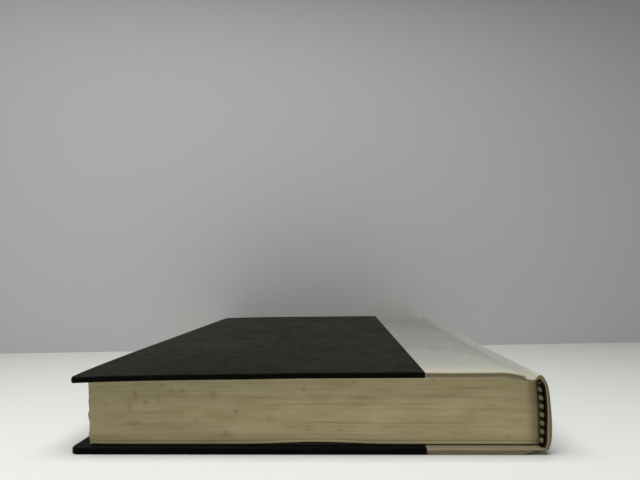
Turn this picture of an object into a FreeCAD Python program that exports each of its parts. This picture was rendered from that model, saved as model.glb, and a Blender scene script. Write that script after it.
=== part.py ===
"""Hardback book, quarter bound: cloth spine, dark paper sides, flat back, French grooves.

Frame: X runs from the fore edge to the spine, Y from head to tail, Z up from the back cover.
The origin is under the middle of the closed book.
"""
import FreeCAD, Part
import math
import os

import Sketcher

DOC = FreeCAD.newDocument("hardback_book")

# Driving sizes in millimetres
SIZES = {
    "page_length": 234.2,     # leaves, head to tail
    "page_width": 155.0,      # leaves, back to fore edge
    "block_thick": 21.8,      # all the leaves together
    "leaf_thick": 0.15,       # endpaper, as flyleaf and as pastedown
    "head_square": 3.4,       # cover beyond the leaves at head and tail
    "fore_square": 4.5,       # cover beyond the leaves at the fore edge
    "board_thick": 1.5,       # grey board of a cover
    "skin_thick": 0.25,       # book cloth and side paper
    "turn_in": 15.0,          # covering folded round to the inside
    "paste_head": 3.3,        # head and tail edge of a pastedown in from those of its cover
    "paste_fore": 4.2,        # fore edge of a pastedown in from that of its cover
    "corner_round": 1.2,      # fore-edge corners of a board
    "joint_width": 5.3,       # hinge edge of a cover to the back of the leaves
    "cloth_reach": 32.6,      # cloth on a cover, from its hinge edge to the paper
    "opening_gap": 0.3,       # air between a pastedown and its flyleaf
    "hinge_gap": 0.5,         # hinge edge of a cover to the cloth in the groove
    "bow_width": 50.0,        # stretch of the front cover that bows down to the fore edge
    "bow_radius": 1000.0,     # radius of that bow
    "bend_width": 8.7,        # stretch of the front cover pressed down along its groove
    "bend_radius": 36.0,      # radius of that bend
    "spine_stand": 3.5,       # back of the leaves to the outside of the spine
    "inlay_thick": 0.9,       # card strip that stiffens the spine
    "front_groove": 2.5,      # depth of the groove below the face of the front cover
    "back_groove": 1.9,       # depth of the groove under the back cover
    "groove_width": 3.6,      # hinge edge of a cover to the foot of the shoulder
    "shoulder_drop": 1.2,     # shoulder below the face of a cover
    "shoulder_round": 3.3,    # outside radius of a shoulder
    "shoulder_ease": 0.8,     # outside radius where a shoulder turns into its groove
    "groove_ease": 0.6,       # outside radius at the foot of a shoulder
    "mull_thick": 0.3,        # gauze glued on the back of the leaves
    "mull_inset": 1.0,        # end of the gauze to the tape of a band
    "lining_thick": 0.25,     # brown paper over gauze and tapes
    "tape_thick": 0.3,        # tape of a head or tail band
    "tape_length": 10.0,      # tape of a band, from the end of the leaves
    "bead_round": 0.9,        # radius of a band's bead over its threads
    "thread_rise": 0.1,       # dark threads above the light ones
    "thread_count": 8,        # groups of dark thread on a band
    "thread_width": 1.3,      # one group of dark thread
}

# Places that follow from the sizes
PLACES = {
    "back_x": "(sizes.fore_square + sizes.page_width - sizes.spine_stand) / 2",
    "spine_x": "back_x + sizes.spine_stand",
    "page_fore_x": "back_x - sizes.page_width",
    "fore_x": "page_fore_x - sizes.fore_square",
    "hinge_x": "back_x - sizes.joint_width",
    "seam_x": "hinge_x - sizes.cloth_reach",
    "cover_length": "sizes.page_length + 2 * sizes.head_square",
    "board_face": "sizes.skin_thick",
    "board_back": "board_face + sizes.board_thick",
    "turn_face": "board_back + sizes.skin_thick",
    "paste_face": "turn_face + sizes.leaf_thick",
    "block_low": "paste_face + sizes.opening_gap + sizes.leaf_thick",
    "block_top": "block_low + sizes.block_thick",
    "book_thick": "block_top + block_low",
    "bow_x": "fore_x + sizes.bow_width",
    "bend_x": "hinge_x - sizes.bend_width",
    "back_top": "book_thick - sizes.bend_radius"
                " + sqrt((sizes.bend_radius - block_low)^2 - sizes.bend_width^2)",
    "back_thick": "back_top - block_low",
    "groove_x": "hinge_x + sizes.hinge_gap",
    "foot_x": "hinge_x + sizes.groove_width",
    "inlay_low": "sizes.shoulder_drop + sizes.shoulder_round",
    "inlay_x": "spine_x - sizes.skin_thick",
    "inlay_back_x": "inlay_x - sizes.inlay_thick",
    "cap_x": "inlay_back_x - sizes.skin_thick",
    "lining_x": "back_x + max(sizes.mull_thick; sizes.tape_thick)",
}

BUILT = []


def fill_sheet(name, cells):
    """A spreadsheet with one named cell for each entry."""
    sheet = DOC.addObject("Spreadsheet::Sheet", name)
    for row, (alias, content) in enumerate(cells.items(), start=1):
        sheet.set(f"A{row}", alias)
        sheet.set(f"B{row}", content)
        sheet.setAlias(f"B{row}", alias)
    DOC.recompute()
    return sheet


SHEET = fill_sheet("sizes", {name: str(size) for name, size in SIZES.items()})
PLACE = fill_sheet("places", {name: "=" + rule for name, rule in PLACES.items()})


def measure(rule):
    """The number that a rule gives with the sheets as they are."""
    return float(SHEET.evalExpression(rule))


def new_body(label):
    """One piece of the book, under the name that its file takes."""
    body = DOC.addObject("PartDesign::Body", label)
    body.Label = label
    BUILT.append(body)
    return body


def new_sketch(body, role):
    """A sketch on one of the body's own planes."""
    plane = [part for part in body.Origin.OriginFeatures if part.Role == role][0]
    sketch = body.newObject("Sketcher::SketchObject", body.Label + "_sketch")
    sketch.AttachmentSupport = (plane, [""])
    sketch.MapMode = "FlatFace"
    return sketch


def bind(sketch, kind, target, rule):
    """One dimension of a sketch, tied to a rule."""
    index = sketch.addConstraint(Sketcher.Constraint(kind, *target, measure(rule)))
    sketch.setExpression(f"Constraints[{index}]", rule)


def arc_below(start, end, radius):
    """The arc from start to end whose centre lies below them."""
    chord = end - start
    middle = (start + end) * 0.5
    reach = math.sqrt(radius ** 2 - (chord.Length / 2) ** 2)
    across = FreeCAD.Vector(chord.y, -chord.x, 0).normalize()
    if across.y > 0:
        across = -across
    centre = middle + across * reach
    angles = sorted(math.atan2(spot.y - centre.y, spot.x - centre.x) for spot in (start, end))
    return Part.ArcOfCircle(Part.Circle(centre, FreeCAD.Vector(0, 0, 1), radius), *angles)


def outline(body, corners):
    """A closed outline through corners (x rule, z rule, radius rule of the arc to the next)."""
    sketch = new_sketch(body, "XZ_Plane")
    spots = [FreeCAD.Vector(measure(x), measure(z), 0) for x, z, _ in corners]
    ends = []
    for index, (x, z, radius) in enumerate(corners):
        start = spots[index]
        end = spots[(index + 1) % len(spots)]
        if radius is None:
            sketch.addGeometry(Part.LineSegment(start, end), False)
            ends.append((1, 2))
        else:
            sketch.addGeometry(arc_below(start, end, measure(radius)), False)
            ends.append((1, 2) if start.x > end.x else (2, 1))
    for index, (x, z, radius) in enumerate(corners):
        previous = index - 1 if index else len(corners) - 1
        start = (index, ends[index][0])
        sketch.addConstraint(Sketcher.Constraint("Coincident", previous, ends[previous][1], *start))
        bind(sketch, "DistanceX", (-1, 1, *start), x)
        bind(sketch, "DistanceY", (-1, 1, *start), z)
        if radius is not None:
            bind(sketch, "Radius", (index,), radius)
    return sketch


def rectangle(x_low, x_high, z_low, z_high):
    """The corners of an upright rectangle."""
    return [(x_low, z_low, None), (x_high, z_low, None), (x_high, z_high, None), (x_low, z_high, None)]


def both_ways(body, kind, corners, length):
    """A pad or pocket of an outline, as long to the head as to the tail."""
    sketch = outline(body, corners)
    feature = body.newObject("PartDesign::" + kind, body.Label + "_" + kind.lower())
    feature.Profile = sketch
    feature.SideType = "Symmetric"
    feature.setExpression("Length", length)
    DOC.recompute()
    return feature


def round_edges(body, spots, radius, axes):
    """A fillet on the straight edges that stand at spots, seen along the axis left out of axes."""
    base = body.Tip
    names = []
    for number, edge in enumerate(base.Shape.Edges, start=1):
        ends = [vertex.Point for vertex in edge.Vertexes]
        for spot in spots:
            near = [all(abs(getattr(end, axis) - at) < 1e-4 for axis, at in zip(axes, spot)) for end in ends]
            if len(ends) == 2 and all(near):
                names.append(f"Edge{number}")
    fillet = body.newObject("PartDesign::Fillet", body.Label + "_fillet")
    fillet.Base = (base, names)
    fillet.setExpression("Radius", radius)
    DOC.recompute()
    return fillet


def arc_height(x, start_x, radius, depth):
    """Height at x of an arc that leaves the level of a layer at start_x and falls away from it."""
    fall = f"sqrt(({radius} - ({depth}))^2 - ({x} - {start_x})^2)"
    return f"places.book_thick - {radius} + {fall}"


def front_face(x_low, x_high, depth):
    """One face of a front layer, fore edge first: x, z, and the radius of an arc to the next point.

    From the fore edge the face rises on the bow, runs level, and falls on the bend to the hinge
    edge. All the layers share the two centres. Past the hinge edge the leaves run level again.
    """
    level = f"places.book_thick - ({depth})"
    if measure(x_low) < measure("places.bow_x"):
        fore_z = arc_height(x_low, "places.bow_x", "sizes.bow_radius", depth)
        points = [(x_low, fore_z, f"sizes.bow_radius - ({depth})"), ("places.bow_x", level, None)]
    else:
        points = [(x_low, level, None)]
    if measure(x_high) < measure("places.bend_x"):
        return points + [(x_high, level, None)]
    past_hinge = measure(x_high) > measure("places.hinge_x")
    end_x = "places.hinge_x" if past_hinge else x_high
    end_z = arc_height(end_x, "places.bend_x", "sizes.bend_radius", depth)
    points += [("places.bend_x", level, f"sizes.bend_radius - ({depth})"), (end_x, end_z, None)]
    if past_hinge:
        points.append((x_high, end_z, None))
    return points


def turned(points):
    """The same points the other way round, each arc still between the same two."""
    radii = [None] + [radius for _, _, radius in points[:-1]]
    return [(x, z, radius) for (x, z, _), radius in zip(points, radii)][::-1]


def layer(side, x_low, x_high, outer, inner):
    """Section of one layer of a cover, between two depths under the cover's outside."""
    if side == "back":
        return rectangle(x_low, x_high, outer, inner)
    return front_face(x_low, x_high, inner) + turned(front_face(x_low, x_high, outer))


def corner_spots(inset):
    """The two fore-edge corners of a cover, moved in by an inset."""
    x = measure(f"places.fore_x + {inset}")
    y = measure(f"places.cover_length / 2 - ({inset})")
    return [(x, y), (x, -y)]


def board(side):
    """Grey board, square at its hinge edge, its fore-edge corners just rounded."""
    body = new_body(side + "_board")
    section = layer(
        side,
        "places.fore_x + sizes.skin_thick",
        "places.hinge_x - sizes.skin_thick",
        "places.board_face",
        "places.board_back",
    )
    both_ways(body, "Pad", section, "places.cover_length - 2 * sizes.skin_thick")
    round_edges(body, corner_spots("sizes.skin_thick"), "sizes.corner_round", "xy")


def side_paper(side):
    """Dark paper on the outside of a board, folded round three edges to the inside."""
    body = new_body(side + "_side_paper")
    envelope = layer(side, "places.fore_x", "places.seam_x", "0", "places.turn_face")
    both_ways(body, "Pad", envelope, "places.cover_length")
    inside = layer(
        side,
        "places.fore_x + sizes.skin_thick",
        "places.seam_x",
        "places.board_face",
        "places.board_back",
    )
    both_ways(body, "Pocket", inside, "places.cover_length - 2 * sizes.skin_thick")
    window = layer(
        side,
        "places.fore_x + sizes.turn_in",
        "places.seam_x",
        "places.board_back",
        "places.turn_face",
    )
    both_ways(body, "Pocket", window, "places.cover_length - 2 * sizes.turn_in")
    round_edges(body, corner_spots("sizes.skin_thick"), "sizes.corner_round", "xy")
    round_edges(body, corner_spots("0"), "sizes.corner_round + sizes.skin_thick", "xy")


def quarter_cloth(side):
    """Spine cloth on the outside of a board, down its hinge edge and folded in at head and tail."""
    body = new_body(side + "_quarter_cloth")
    envelope = layer(side, "places.seam_x", "places.hinge_x", "0", "places.turn_face")
    both_ways(body, "Pad", envelope, "places.cover_length")
    inside = layer(
        side,
        "places.seam_x",
        "places.hinge_x - sizes.skin_thick",
        "places.board_face",
        "places.board_back",
    )
    both_ways(body, "Pocket", inside, "places.cover_length - 2 * sizes.skin_thick")
    window = layer(side, "places.seam_x", "places.hinge_x", "places.board_back", "places.turn_face")
    both_ways(body, "Pocket", window, "places.cover_length - 2 * sizes.turn_in")


def pastedown(side):
    """Endpaper on the inside of a cover: a leaf over the turn-ins, pressed down between them."""
    body = new_body(side + "_pastedown")
    leaf = layer(
        side,
        "places.fore_x + sizes.paste_fore",
        "places.hinge_x",
        "places.turn_face",
        "places.paste_face",
    )
    both_ways(body, "Pad", leaf, "places.cover_length - 2 * sizes.paste_head")
    pressed = layer(
        side,
        "places.fore_x + sizes.turn_in",
        "places.hinge_x",
        "places.board_back",
        "places.turn_face",
    )
    both_ways(body, "Pad", pressed, "places.cover_length - 2 * sizes.turn_in")


def text_block():
    """All the leaves as one solid: flat below, and above with the form of the front cover."""
    body = new_body("text_block")
    depth = "places.book_thick - places.block_top"
    upper = turned(front_face("places.page_fore_x", "places.back_x", depth))
    lower = [("places.page_fore_x", "places.block_low", None), ("places.back_x", "places.block_low", None)]
    both_ways(body, "Pad", lower + upper, "sizes.page_length")


def flyleaf(side):
    """The free half of an endpaper, lying on the leaves."""
    body = new_body(side + "_flyleaf")
    outer = "places.paste_face + sizes.opening_gap"
    section = layer(side, "places.page_fore_x", "places.back_x", outer, "places.block_low")
    both_ways(body, "Pad", section, "sizes.page_length")


def upright(body, draw, height):
    """A pad that stands level with the underside of the leaves, of what draw puts in its sketch."""
    sketch = new_sketch(body, "XY_Plane")
    sketch.setExpression("AttachmentOffset.Base.z", "places.block_low")
    draw(sketch)
    pad = body.newObject("PartDesign::Pad", body.Label + "_pad")
    pad.Profile = sketch
    pad.setExpression("Length", height)
    DOC.recompute()
    return pad


def band(end_name, direction):
    """Woven band at one end of the back: a tape, and a bead wound with dark and light thread."""
    body = new_body(end_name + "_band")
    bead_x = "places.back_x + sizes.bead_round"
    bead_y = f"{direction} * (sizes.page_length / 2 + sizes.bead_round)"

    def circle(radius):
        def draw(sketch):
            centre = FreeCAD.Vector(measure(bead_x), measure(bead_y), 0)
            axis = FreeCAD.Vector(0, 0, 1)
            sketch.addGeometry(Part.Circle(centre, axis, measure(radius)), False)
            bind(sketch, "DistanceX", (-1, 1, 0, 3), bead_x)
            bind(sketch, "DistanceY", (-1, 1, 0, 3), bead_y)
            bind(sketch, "Radius", (0,), radius)
        return draw

    def tape(sketch):
        y_in = f"{direction} * (sizes.page_length / 2 - sizes.tape_length)"
        corners = rectangle("places.back_x", "places.back_x + sizes.tape_thick", y_in, bead_y)
        spots = [FreeCAD.Vector(measure(x), measure(y), 0) for x, y, _ in corners]
        for index, (x, y, _) in enumerate(corners):
            sketch.addGeometry(Part.LineSegment(spots[index], spots[(index + 1) % 4]), False)
        for index, (x, y, _) in enumerate(corners):
            sketch.addConstraint(Sketcher.Constraint("Coincident", (index - 1) % 4, 2, index, 1))
            bind(sketch, "DistanceX", (-1, 1, index, 1), x)
            bind(sketch, "DistanceY", (-1, 1, index, 1), y)

    upright(body, tape, "places.back_thick")
    upright(body, circle("sizes.bead_round - sizes.thread_rise"), "places.back_thick")
    wrap = upright(body, circle("sizes.bead_round"), "sizes.thread_width")
    rows = body.newObject("PartDesign::LinearPattern", body.Label + "_threads")
    rows.Originals = [wrap]
    axis = [part for part in body.Origin.OriginFeatures if part.Role == "Z_Axis"][0]
    rows.Direction = (axis, [""])
    rows.setExpression("Length", "places.back_thick - sizes.thread_width")
    rows.setExpression("Occurrences", "sizes.thread_count")
    body.Tip = rows
    DOC.recompute()


def spine_mull():
    """Gauze glued on the back of the leaves, between the tapes of the two bands."""
    body = new_body("spine_mull")
    section = rectangle("places.back_x", "places.back_x + sizes.mull_thick",
                        "places.block_low", "places.back_top")
    both_ways(body, "Pad", section, "sizes.page_length - 2 * (sizes.tape_length + sizes.mull_inset)")


def spine_lining():
    """Brown paper over gauze and tapes."""
    body = new_body("spine_lining")
    section = rectangle("places.lining_x", "places.lining_x + sizes.lining_thick",
                        "places.block_low", "places.back_top")
    both_ways(body, "Pad", section, "sizes.page_length")


def spine_inlay():
    """Card strip that keeps the spine of the case flat."""
    body = new_body("spine_inlay")
    section = rectangle("places.inlay_back_x", "places.inlay_x",
                        "places.inlay_low", "places.book_thick - places.inlay_low")
    both_ways(body, "Pad", section, "places.cover_length - 2 * sizes.skin_thick")


def cloth_fold(groove, offset):
    """Lower half of a face of the spine's cloth, from the groove to the spine, moved in by offset.

    The sheet runs level in the groove, climbs half a right angle to the shoulder and turns there.
    """
    shift = f"tan(22.5) * ({offset})"
    rise = f"{groove} - sizes.shoulder_drop"
    return [
        ("places.groove_x", f"{groove} + {offset}"),
        (f"places.foot_x + {shift}", f"{groove} + {offset}"),
        (f"places.foot_x + {rise} + {shift}", f"sizes.shoulder_drop + {offset}"),
        (f"places.spine_x - {offset}", f"sizes.shoulder_drop + {offset}"),
    ]


def spine_cloth():
    """Cloth of the spine: flat back, two round shoulders, and the floor of both grooves.

    At head and tail it is folded over the ends of the card strip to the inside.
    """
    body = new_body("spine_cloth")
    faces = {}
    for face, offset in (("outside", "0"), ("inside", "sizes.skin_thick")):
        front = [(x, f"places.book_thick - ({z})") for x, z in cloth_fold("sizes.front_groove", offset)]
        faces[face] = cloth_fold("sizes.back_groove", offset) + front[::-1]
    loop = faces["outside"] + faces["inside"][::-1]
    both_ways(body, "Pad", [(x, z, None) for x, z in loop], "places.cover_length")

    # Bends of the sheet, by their place in a face: outside radius, and the sign of the skin in
    # the inside one
    bends = [
        ((3, 4), "sizes.shoulder_round", "-"),
        ((2, 5), "sizes.shoulder_ease", "-"),
        ((1, 6), "sizes.groove_ease", "+"),
    ]
    for corners, radius, sign in bends:
        for face, rule in (("outside", radius), ("inside", f"{radius} {sign} sizes.skin_thick")):
            spots = [(measure(faces[face][index][0]), measure(faces[face][index][1])) for index in corners]
            round_edges(body, spots, rule, "xz")

    low = "places.inlay_low"
    high = "places.book_thick - places.inlay_low"
    both_ways(body, "Pad", rectangle("places.cap_x", "places.inlay_x", low, high), "places.cover_length")
    both_ways(body, "Pocket", rectangle("places.inlay_back_x", "places.inlay_x", low, high),
              "places.cover_length - 2 * sizes.skin_thick")
    both_ways(body, "Pocket", rectangle("places.cap_x", "places.inlay_back_x", low, high),
              "places.cover_length - 2 * sizes.turn_in")


def check_and_write():
    """Every feature has to be sound before any file is written."""
    DOC.recompute()
    for item in DOC.Objects:
        if {"Invalid", "Error"} & set(item.State):
            raise RuntimeError(f"{item.Label} failed: {item.State}")
    for body in BUILT:
        if body.Shape.isNull() or not body.Shape.isValid():
            raise RuntimeError(f"{body.Label} has no sound shape")
    os.makedirs("parts", exist_ok=True)
    for body in BUILT:
        body.Shape.exportStep(f"parts/{body.Label}.step")
        box = body.Shape.BoundBox
        print(f"{body.Label}: {len(body.Shape.Solids)} solid, {body.Shape.Volume:.1f} mm3, "
              f"x {box.XMin:.2f} {box.XMax:.2f}, y {box.YMin:.2f} {box.YMax:.2f}, "
              f"z {box.ZMin:.2f} {box.ZMax:.2f}")


text_block()
for cover_side in ("front", "back"):
    flyleaf(cover_side)
    board(cover_side)
    side_paper(cover_side)
    quarter_cloth(cover_side)
    pastedown(cover_side)
band("head", -1)
band("tail", 1)
spine_mull()
spine_lining()
spine_inlay()
spine_cloth()
check_and_write()
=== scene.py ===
import math

import bmesh
import bpy
import numpy as np
from mathutils import Matrix, Vector


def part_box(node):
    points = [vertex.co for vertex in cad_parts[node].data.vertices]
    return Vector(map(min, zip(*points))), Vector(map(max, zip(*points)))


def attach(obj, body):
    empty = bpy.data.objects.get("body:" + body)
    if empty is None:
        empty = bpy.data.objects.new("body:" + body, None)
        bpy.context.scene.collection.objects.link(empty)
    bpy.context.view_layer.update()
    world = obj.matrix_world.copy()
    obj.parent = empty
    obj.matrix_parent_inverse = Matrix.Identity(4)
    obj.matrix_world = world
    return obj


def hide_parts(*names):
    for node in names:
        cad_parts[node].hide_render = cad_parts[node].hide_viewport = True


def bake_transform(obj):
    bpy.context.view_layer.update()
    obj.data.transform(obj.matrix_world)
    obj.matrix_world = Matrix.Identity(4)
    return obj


# The frame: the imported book, in metres. Shapes below are worked out in millimetres and put
# into their meshes through MM.
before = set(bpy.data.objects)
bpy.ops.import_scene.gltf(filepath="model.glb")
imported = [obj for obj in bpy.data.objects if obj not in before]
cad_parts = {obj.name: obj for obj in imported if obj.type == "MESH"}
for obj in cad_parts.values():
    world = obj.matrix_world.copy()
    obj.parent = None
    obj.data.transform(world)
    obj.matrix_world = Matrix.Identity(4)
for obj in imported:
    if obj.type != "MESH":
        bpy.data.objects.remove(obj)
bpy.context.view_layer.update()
MM = 0.001

# Camera: a phone held low in front of the head of the book, tipped up a little. Place, turn
# and focal length come from a fit to the corners of the two covers and the spine.
CAMERA_SPOT = (12.0, -294.6, 59.6)
CAMERA_YAW, CAMERA_PITCH, CAMERA_ROLL = (math.radians(angle) for angle in (2.19, 4.09, -0.70))
SENSOR_WIDTH = 36.0
FOCAL_LENGTH = 28.51

forward = Vector((
    -math.sin(CAMERA_YAW) * math.cos(CAMERA_PITCH),
    math.cos(CAMERA_YAW) * math.cos(CAMERA_PITCH),
    math.sin(CAMERA_PITCH),
))
level_right = Vector((math.cos(CAMERA_YAW), math.sin(CAMERA_YAW), 0))
level_up = level_right.cross(forward)
right = math.cos(CAMERA_ROLL) * level_right + math.sin(CAMERA_ROLL) * level_up
up = -math.sin(CAMERA_ROLL) * level_right + math.cos(CAMERA_ROLL) * level_up

camera = bpy.data.objects.new("camera", bpy.data.cameras.new("camera"))
camera.data.sensor_width = SENSOR_WIDTH
camera.data.lens = FOCAL_LENGTH
camera.data.clip_start = 0.01
turn = Matrix((right, up, -forward)).transposed().to_4x4()
camera.matrix_world = Matrix.Translation(Vector(CAMERA_SPOT) * MM) @ turn
bpy.context.scene.collection.objects.link(camera)
bpy.context.scene.camera = camera

# Floor and backdrop: white paper on a table, and a pale wall just behind the tail of the book,
# turned a few degrees. The wall shows only its front, so that it hides nothing from behind.
FLOOR_COLOUR = "#dcdeda"
WALL_COLOUR = "#cececd"
FLOOR_REACH = 3000.0
FLOOR_LEVEL = -0.05
WALL_LEFT = (-2000.0, -21.6)
WALL_RIGHT = (2000.0, 288.4)
WALL_TOP = 1500.0


def linear(colour):
    """Linear red, green, blue and alpha of an sRGB hex colour."""
    parts = [int(colour[start:start + 2], 16) / 255 for start in (1, 3, 5)]
    return (*(part / 12.92 if part <= 0.04045 else ((part + 0.055) / 1.055) ** 2.4
              for part in parts), 1.0)


def add_node(tree, kind, inputs=None, **settings):
    """Adds a node: settings are its properties, inputs its sockets, as values or links."""
    node = tree.nodes.new("ShaderNode" + kind)
    for name, value in settings.items():
        setattr(node, name, value)
    for name, value in (inputs or {}).items():
        if isinstance(value, bpy.types.NodeSocket):
            tree.links.new(value, node.inputs[name])
        else:
            node.inputs[name].default_value = value
    return node


def start_material(name):
    """A material with an empty tree, and its output node."""
    material = bpy.data.materials.new(name)
    material.use_nodes = True
    tree = material.node_tree
    tree.nodes.clear()
    return material, tree, tree.nodes.new("ShaderNodeOutputMaterial")


def lay_mesh(name, points, faces):
    """A mesh object at the origin, from points in millimetres."""
    mesh = bpy.data.meshes.new(name)
    mesh.from_pydata((np.asarray(points) * MM).tolist(), [], [list(face) for face in faces])
    item = bpy.data.objects.new(name, mesh)
    bpy.context.scene.collection.objects.link(item)
    return item


floor_corners = [(x * FLOOR_REACH, y * FLOOR_REACH, FLOOR_LEVEL)
                 for x, y in ((-1, -1), (1, -1), (1, 1), (-1, 1))]
wall_corners = [(*WALL_LEFT, FLOOR_LEVEL), (*WALL_RIGHT, FLOOR_LEVEL),
                (*WALL_RIGHT, WALL_TOP), (*WALL_LEFT, WALL_TOP)]
floor = lay_mesh("floor", floor_corners, [(0, 1, 2, 3)])
wall = lay_mesh("wall", wall_corners, [(0, 1, 2, 3)])

floor_paper, tree, output = start_material("white_table_paper")
matt = add_node(tree, "BsdfDiffuse", {"Color": linear(FLOOR_COLOUR)})
tree.links.new(matt.outputs[0], output.inputs["Surface"])
floor.data.materials.append(floor_paper)

wall_paint, tree, output = start_material("pale_wall")
matt = add_node(tree, "BsdfDiffuse", {"Color": linear(WALL_COLOUR)})
clear = add_node(tree, "BsdfTransparent")
facing = add_node(tree, "NewGeometry")
one_sided = add_node(tree, "MixShader", {0: facing.outputs["Backfacing"], 1: matt.outputs[0],
                                         2: clear.outputs[0]})
tree.links.new(one_sided.outputs[0], output.inputs["Surface"])
wall.data.materials.append(wall_paint)

# Leaves: a stack of toned book paper, trimmed on three sides and glued at the back. The cut
# edges lie in shallow waves, stand a little uneven and carry foxing: soft brown spots and smears.
PAGE_DARK = "#b9ac85"
PAGE_LIGHT = "#d6caa4"
PAGE_FOXED = "#5f4f2a"
# Brown of dust at the fore edge, also used for dust and painted shade at the glued back.
PAGE_DUST_AND_SHADE = "#5c4f31"
LEAF_ROWS = 110
HEAD_COLUMNS = 300
FORE_COLUMNS = 150
BACK_COLUMNS = 6
LEAF_UNEVEN = 0.012
GROUP_UNEVEN = 0.13
END_UNEVEN = 0.3 * GROUP_UNEVEN
GROUP_THICK = 1.5
LEAF_WAVE = 0.15
# The waves' length, drift with height, start and share. They run on slantwise from edge to edge.
LEAF_WAVES = ((31.0, 2.2, 0.0, 1.0), (13.0, 5.0, 1.0, 0.6))
WAVE_SLANT = 1.3
WAVE_END = 20.0
# The fore edge stands back from the solid's, leans, and is tucked in at the foot over a low strip.
FORE_SHY = 0.75
FORE_LEAN = 0.9
FOOT_TUCK, TUCK_HEIGHT = 0.35, 1.6
EDGE_BLEND = 6.0
# Foxing on the head edge: place along the book and height, half length, half height, depth.
HEAD_FOXING = [
    (-70.4, 16.7, 0.9, 0.7, 0.3), (-61.8, 15.4, 0.7, 2.2, 0.5), (-60.5, 9.7, 3.0, 0.9, 0.5),
    (-60.0, 19.6, 0.7, 2.2, 0.5), (-56.3, 16.8, 0.8, 0.8, 0.7), (-53.5, 13.3, 8.0, 0.3, 0.4),
    (-51.6, 17.3, 0.6, 1.3, 0.4), (-50.2, 22.7, 1.0, 0.6, 0.5), (-47.1, 20.4, 0.8, 0.8, 0.5),
    (-43.5, 20.4, 1.1, 0.7, 0.6), (-38.2, 10.6, 0.9, 0.9, 0.4), (-32.6, 19.2, 0.9, 1.2, 0.6),
    (-30.5, 22.0, 5.0, 0.3, 0.6), (-28.0, 6.2, 1.4, 1.1, 0.5), (-24.5, 13.3, 1.1, 0.7, 0.9),
    (-14.5, 18.2, 5.5, 0.4, 0.5), (-12.9, 10.8, 1.0, 0.9, 0.5), (-1.1, 20.9, 0.8, 0.6, 0.6),
    (0.5, 15.7, 20.0, 0.25, 0.7), (0.6, 6.9, 1.2, 0.6, 0.6), (11.1, 6.9, 1.0, 0.4, 0.5),
    (13.0, 9.5, 13.0, 0.25, 0.8), (16.4, 23.3, 0.9, 0.5, 0.5), (19.0, 18.0, 3.4, 0.5, 0.5),
    (18.5, 15.5, 1.8, 0.5, 0.6), (20.3, 13.4, 2.4, 0.35, 0.4), (37.8, 15.8, 5.5, 0.35, 0.7),
    (40.0, 9.5, 15.0, 0.25, 0.6), (43.4, 24.0, 0.7, 0.6, 0.6), (45.0, 18.6, 9.0, 0.6, 0.6),
    (55.5, 13.0, 2.5, 0.35, 0.5), (58.0, 21.1, 10.0, 0.3, 0.6), (62.6, 15.4, 1.8, 0.4, 0.6),
    (68.3, 12.7, 3.0, 0.3, 0.4), (67.9, 4.9, 1.3, 0.4, 0.6), (0.0, 3.6, 90.0, 0.16, 0.35),
]
# Foxing on the other two edges: how many spots, and the ranges of the same measures.
OTHER_SPOTS = 90
SPOT_HEIGHTS = (1, 20)
SPOT_HALF_LENGTHS = (0.5, 1.6)
SPOT_HALF_HEIGHTS = (0.3, 1.3)
SPOT_DEPTHS = (0.3, 0.8)
CLEAR_OF_ZERO = 300
# At the head the lowest leaves have sprung up a little from the cover, near its middle and corner.
FOOT_LIFT = 0.7
FOOT_LIFT_SPOT, FOOT_LIFT_REACH = 3.0, 15.0
CORNER_LIFT, CORNER_LIFT_REACH = 0.35, 5.0
LIFT_DEPTH = 20.0

# Form of the front cover, the same as in the solids: its face bows down to the fore edge on
# one arc and bends down to the groove on another. Behind the head corner it has kept flatter,
# its head edge sags a little, and at the head the fore edge has swung a little outwards.
BOW_WIDTH, BOW_RADIUS = 50.0, 1000.0
BEND_WIDTH, BEND_RADIUS = 8.7, 36.0
FLAT_SHARE, FLAT_REACH = 0.66, 16.0
SWING_HEAD, SWING_TAIL = -0.55, 0.3
EDGE_DROOP, DROOP_WIDTH = 0.35, 80.0


def span(node):
    """Lowest and highest corner of a CAD node, in millimetres."""
    low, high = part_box(node)
    return np.array(low) / MM, np.array(high) / MM


cover_low = span("front_side_paper")[0]
cloth_low, cloth_high = span("front_quarter_cloth")
block_low, block_high = span("text_block")
fore_x = cover_low[0]
hinge_x = cloth_high[0]
seam_x = cloth_low[0]
head_y = cover_low[1]
book_top = cloth_high[2]
bow_x = fore_x + BOW_WIDTH
bend_x = hinge_x - BEND_WIDTH


def bow_fall(x, depth):
    """How far a front layer lies under its level, by the arc that starts at bow_x."""
    reach = np.clip(bow_x - x, 0, None)
    return (BOW_RADIUS - depth) - np.sqrt((BOW_RADIUS - depth) ** 2 - reach ** 2)


def front_face(x, depth):
    """Height of a front layer's face at x: level, less the fall on the bow and on the bend."""
    reach = np.clip(x, bend_x, hinge_x) - bend_x
    bend_fall = (BEND_RADIUS - depth) - np.sqrt((BEND_RADIUS - depth) ** 2 - reach ** 2)
    return book_top - depth - bow_fall(x, depth) - bend_fall


def untwist(x, y, depth):
    """Rise towards the tail, a share of the bow, less a sag in half a sine along the head edge."""
    near_head = np.exp((head_y - y) / FLAT_REACH)
    sag = EDGE_DROOP * np.sin(np.pi * np.clip((x - fore_x) / DROOP_WIDTH, 0, 1))
    return bow_fall(x, depth) * FLAT_SHARE * (1 - near_head) - sag * near_head


def swing(x, y):
    """Shift of the front cover along X: even from head to tail, nothing at the seam."""
    shift = SWING_HEAD + (SWING_TAIL - SWING_HEAD) * (y - head_y) / (-2 * head_y)
    return shift * np.clip((seam_x - x) / (seam_x - fore_x), 0, 1)


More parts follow.
